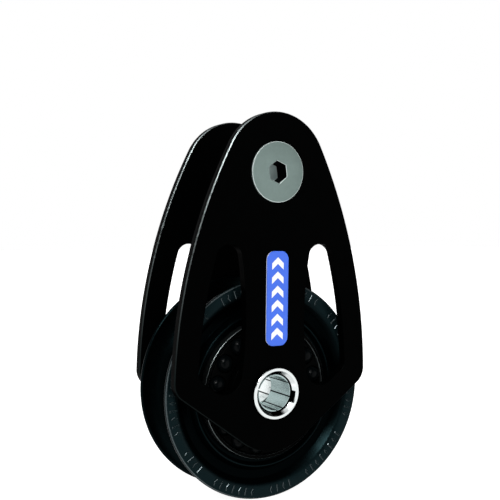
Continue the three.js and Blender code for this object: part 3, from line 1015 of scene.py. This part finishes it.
def axle_screw(side):
    """One half of the hollow axle: a polished flange with a notched recess, and a ridged bore; the rear
    half's bore is painted in the brighter polished steel as light.
    """
    meeting = (box("front_axle_screw")[1].y + box("rear_axle_screw")[0].y) / 2
    end = meeting if side == "front" else -meeting
    piece = axle_blank(f"{side}_axle_end", end)
    cut_mouth(piece)
    # painted light: the rear half's bore takes the brighter polished steel, the front's the duller bore steel
    cut_bore(piece, end, BORE_STEEL if side == "front" else POLISHED_STEEL)
    if side == "rear":
        piece.data.transform(TO_REAR)
    return dress(piece, "frame", "polished_steel", replaces=[f"{side}_axle_screw"])


def sheave_half():
    """Half of the sheave's section, from the bottom of the rope groove over the rear rim to the bore."""
    groove_end = math.pi / 2 - math.asin((SHEAVE_RADIUS - LIP_RADIUS - GROOVE_CENTRE) / GROOVE_RADIUS)
    lip_centre = Vector((SHEAVE_RADIUS - LIP_RADIUS, SHEAVE_SIDE - LIP_RADIUS))
    profile = arc(Vector((GROOVE_CENTRE, 0)), GROOVE_RADIUS, math.pi, groove_end)
    profile += arc(lip_centre, LIP_RADIUS, -math.pi / 2, math.pi / 2)
    side = rounded([
        [SHEAVE_RADIUS - LIP_RADIUS, SHEAVE_SIDE],
        [BAND_INNER, SHEAVE_SIDE, BAND_ROUNDING],
        [DISH_OUTER, DISH_OUTER_SIDE, DISH_OUTER_ROUNDING],
        [DISH_INNER, DISH_INNER_SIDE, DISH_INNER_ROUNDING],
        [RIDGE_RADIUS, RIDGE_SIDE, RIDGE_ROUNDING],
        [LEDGE_RADIUS, LEDGE_SIDE, RIDGE_ROUNDING],
        [RING_SEAT_RADIUS, LEDGE_SIDE, RING_SEAT_ROUNDING],
        [RING_SEAT_RADIUS, RING_SEAT_SIDE, RING_SEAT_ROUNDING],
        [RACE_BORE, RING_SEAT_SIDE],
        [TRACK_RADIUS, TRACK_SIDE],
        [SHEAVE_BORE, TRACK_SIDE, SHEAVE_BORE_ROUNDING],
        [SHEAVE_BORE, 0],
    ])
    return profile + side[1:-1]


def sheave():
    """The sheave, with a rubbed line round the edge of each rim that is also a painted highlight."""
    half = sheave_half()
    profile = [Vector((p.x, -p.y)) for p in reversed(half[1:])] + half
    piece = turned("sheave_wheel", profile)
    for face in piece.data.polygons:
        out = math.hypot(face.center.x, face.center.z) / MM - (SHEAVE_RADIUS - LIP_RADIUS)
        aside = abs(face.center.y) / MM - (SHEAVE_SIDE - LIP_RADIUS)
        # these rim faces take the lighter, glossier paint: wear together with a painted highlight line
        if out > 0 and RIM_SHEEN_AND_WEAR[0] < math.atan2(aside, out) < RIM_SHEEN_AND_WEAR[1]:
            face.material_index = EDGE
    return dress(piece, "sheave", "black_acetal", ACETAL, ACETAL_EDGE, replaces=["sheave"])


def sheave_marks(side):
    """Raised lozenges and bars on the sheave's flat outer band, in groups with gaps between them."""
    shell = Shell()
    edge = raised(-SHEAVE_SIDE, MARK_RELIEF, MARK_EDGE)
    pitch = FULL_TURN / (sum(MARK_GROUPS) + MARK_SPACE * len(MARK_GROUPS))
    turn = MARK_START
    for count in MARK_GROUPS:
        for i in range(count):
            turn += pitch
            # the marks' sides take the lighter, glossier paint: wear together with a painted highlight
            block(shell, mark_outline(turn, BAR if i % 2 else LOZENGE), edge, EDGE)
        turn += MARK_SPACE * pitch
    piece = shell.finish(f"{side}_sheave_marks", rear=side == "rear")
    return dress(piece, "sheave", "black_acetal", ACETAL, ACETAL_EDGE)


def race_ring(side):
    """The steel ring that keeps the balls in: a dark face between two edges painted bright as highlights."""
    low, high = box("front_race_ring")
    shell = Shell()
    # painted highlight: the chamfers take the bright steel paint, the face the matt black
    washer(shell, high.z, RACE_BORE, chamfered(low.y, high.y, RACE_CHAMFER), EDGE)
    piece = shell.finish(f"{side}_race_rim", rear=side == "rear")
    return dress(
        piece, "sheave", "black_acetal", CAGE_PLASTIC, RACE_STEEL, replaces=[f"{side}_race_ring"]
    )


def balls(side):
    profile = [
        point(BALL_RADIUS, BALL_REACH * (2 * k / BALL_STEPS - 1)) for k in range(BALL_STEPS + 1)
    ]
    for i in range(BALL_COUNT):
        node = f"{side}_ball_{i + 1:02d}"
        piece = turned(f"{node}_sphere", profile, closed=False, centre=centre_of(node))
        dress(piece, f"{side}_ball_train", "grey_acetal", BEARING_PLASTIC, replaces=[node])


def ball_cage(side):
    """The cage: a thin ring with a pocket for each ball, open at its outer edge."""
    low, high = box("front_ball_cage")
    shell = Shell()
    washer(shell, high.z, CAGE_BORE, chamfered(low.y, high.y, CAGE_CHAMFER))
    piece = shell.finish(f"{side}_ball_cage_ring")
    piece.data.materials.append(CAGE_PLASTIC)
    for i in range(BALL_COUNT):
        centre = centre_of(f"front_ball_{i + 1:02d}")
        pocket = circle(Vector((centre.x, centre.z)), POCKET_RADIUS)
        cut(piece, prism(pocket, low.y - OVERCUT, high.y + OVERCUT), CAGE_PLASTIC)
    if side == "rear":
        piece.data.transform(TO_REAR)
    return dress(piece, f"{side}_ball_train", "grey_acetal", replaces=[f"{side}_ball_cage"])


def hub_collar(side):
    """A plain spacer ring between the cheek and the bearing."""
    low, high = box("front_hub_collar")
    profile = [
        (COLLAR_BORE, low.y),
        (COLLAR_RADIUS - COLLAR_CHAMFER, low.y),
        (COLLAR_RADIUS, low.y + COLLAR_CHAMFER),
        (COLLAR_RADIUS, high.y),
        (COLLAR_BORE, high.y),
    ]
    piece = turned(f"{side}_hub_ring", profile, rear=side == "rear")
    return dress(piece, "frame", "black_anodised", ANODISED, replaces=[f"{side}_hub_collar"])


def head_post():
    """The hollow spacer between the cheeks' heads, slimmer in its middle."""
    low, high = box("head_post")
    waist = POST_SHOULDER + POST_SLOPE
    profile = rounded([
        [SHANK_HOLE, low.y],
        [POST_RADIUS, low.y, POST_ROUNDING],
        [POST_RADIUS, low.y + POST_SHOULDER],
        [POST_WAIST, low.y + waist],
        [POST_WAIST, high.y - waist],
        [POST_RADIUS, high.y - POST_SHOULDER],
        [POST_RADIUS, high.y, POST_ROUNDING],
        [SHANK_HOLE, high.y],
    ])
    piece = turned("head_post_spacer", profile, centre=Vector((0, 0, HEAD_HEIGHT)))
    return dress(piece, "frame", "satin_steel", SATIN_STEEL, replaces=["head_post"])


def rollers():
    half = box("roller_01")[1].y
    profile = rounded([
        [ROLLER_ROUNDING, -half],
        [ROLLER_RADIUS, -half, ROLLER_ROUNDING],
        [ROLLER_RADIUS, half, ROLLER_ROUNDING],
        [ROLLER_ROUNDING, half],
    ])
    for i in range(ROLLER_COUNT):
        node = f"roller_{i + 1:02d}"
        piece = turned(f"{node}_barrel", profile, closed=False, centre=centre_of(node))
        dress(piece, node, "grey_acetal", BEARING_PLASTIC, replaces=[node])


for side in ("front", "rear"):
    cheek(side)
    badge_base(side)
    badge_face(side)
    badge_marks(side)
    head_screw(side)
    axle_screw(side)
    hub_collar(side)
    race_ring(side)
    ball_cage(side)
    balls(side)
    sheave_marks(side)
head_post()
sheave()
rollers()
for node, material in (("axle_sleeve", ANODISED), ("roller_cage", CAGE_PLASTIC)):
    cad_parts[node].data.materials.clear()
    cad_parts[node].data.materials.append(material)

# ---- Stage, light and camera --------------------------------------------------------------------------

FLOOR_HALF = 3  # metres
FLOOR_GAP = 0.0002  # metres from the floor up to the part

CAMERA_PLACE = Vector((-110.38, -184.06, 41.88))
CAMERA_YAW = math.radians(26.7)
CAMERA_PITCH = math.radians(-7.31)
CAMERA_LENS = 56.3
CAMERA_SHIFT = (0.1128, 0.1675)

# Large soft cards round the object: the way to each, how far it spreads in degrees, and its brightness.
CARDS = (
    ((0.5, -0.85, -0.05), 50, 1.1),
    ((-0.82, -0.48, -0.2), 36, 1.1),
    ((-0.2, -0.45, -0.85), 38, 0.9),
    ((-0.4, -0.4, 0.8), 30, 0.7),
    ((-0.49, -0.63, 0.63), 9, 38.0),
    ((-0.2, 0.97, -0.05), 62, 1.2),
)
CARD_CORE = 0.6  # the share of a card's spread that is at full brightness
FILL_LIGHT = 0.02  # between the cards


def stage():
    """A white floor under the object, hidden from everything but the camera."""
    z = cad_box[0].z - FLOOR_GAP
    corners = [(-1, -1), (1, -1), (1, 1), (-1, 1)]
    data = bpy.data.meshes.new("floor")
    data.from_pydata([(x * FLOOR_HALF, y * FLOOR_HALF, z) for x, y in corners], [], [range(4)])
    data.materials.append(floor_paint())
    floor = bpy.data.objects.new("floor", data)
    floor.visible_glossy = False
    floor.visible_diffuse = False
    floor.visible_shadow = False
    bpy.context.scene.collection.objects.link(floor)


def studio():
    """A white backdrop, with soft cards that light the object and show in its gloss."""
    world = bpy.data.worlds.new("studio")
    world.use_nodes = True
    tree = world.node_tree
    way = make_node(tree, "ShaderNodeTexCoord").outputs["Generated"]
    light = FILL_LIGHT
    for towards, spread, strength in CARDS:
        dot = {0: way, 1: Vector(towards).normalized()}
        fade = {
            "Value": make_node(tree, "ShaderNodeVectorMath", dot, operation="DOT_PRODUCT").outputs["Value"],
            "From Min": math.cos(math.radians(spread)),
            "From Max": math.cos(math.radians(spread * CARD_CORE)),
            "To Max": strength,
        }
        card = make_node(tree, "ShaderNodeMapRange", fade, interpolation_type="SMOOTHSTEP")
        light = make_node(tree, "ShaderNodeMath", {0: card.outputs["Result"], 1: light}).outputs[0]
    to_camera = make_node(tree, "ShaderNodeLightPath").outputs["Is Camera Ray"]
    seen = make_node(tree, "ShaderNodeMix", {"Factor": to_camera, "A": light, "B": 1.0})
    backdrop = tree.nodes["Background"]
    backdrop.inputs["Color"].default_value = (1, 1, 1, 1)
    tree.links.new(seen.outputs["Result"], backdrop.inputs["Strength"])
    bpy.context.scene.world = world
    bpy.context.scene.view_settings.view_transform = "Standard"


def camera():
    data = bpy.data.cameras.new("camera")
    data.sensor_width = 36
    data.lens = CAMERA_LENS
    data.shift_x, data.shift_y = CAMERA_SHIFT
    data.clip_start = 0.01
    eye = bpy.data.objects.new("camera", data)
    bpy.context.scene.collection.objects.link(eye)
    level = math.cos(CAMERA_PITCH)
    ahead = Vector((math.sin(CAMERA_YAW) * level, math.cos(CAMERA_YAW) * level, math.sin(CAMERA_PITCH)))
    eye.location = CAMERA_PLACE * MM
    eye.rotation_mode = "QUATERNION"
    eye.rotation_quaternion = ahead.to_track_quat("-Z", "Y")
    bpy.context.scene.camera = eye


stage()
studio()
camera()
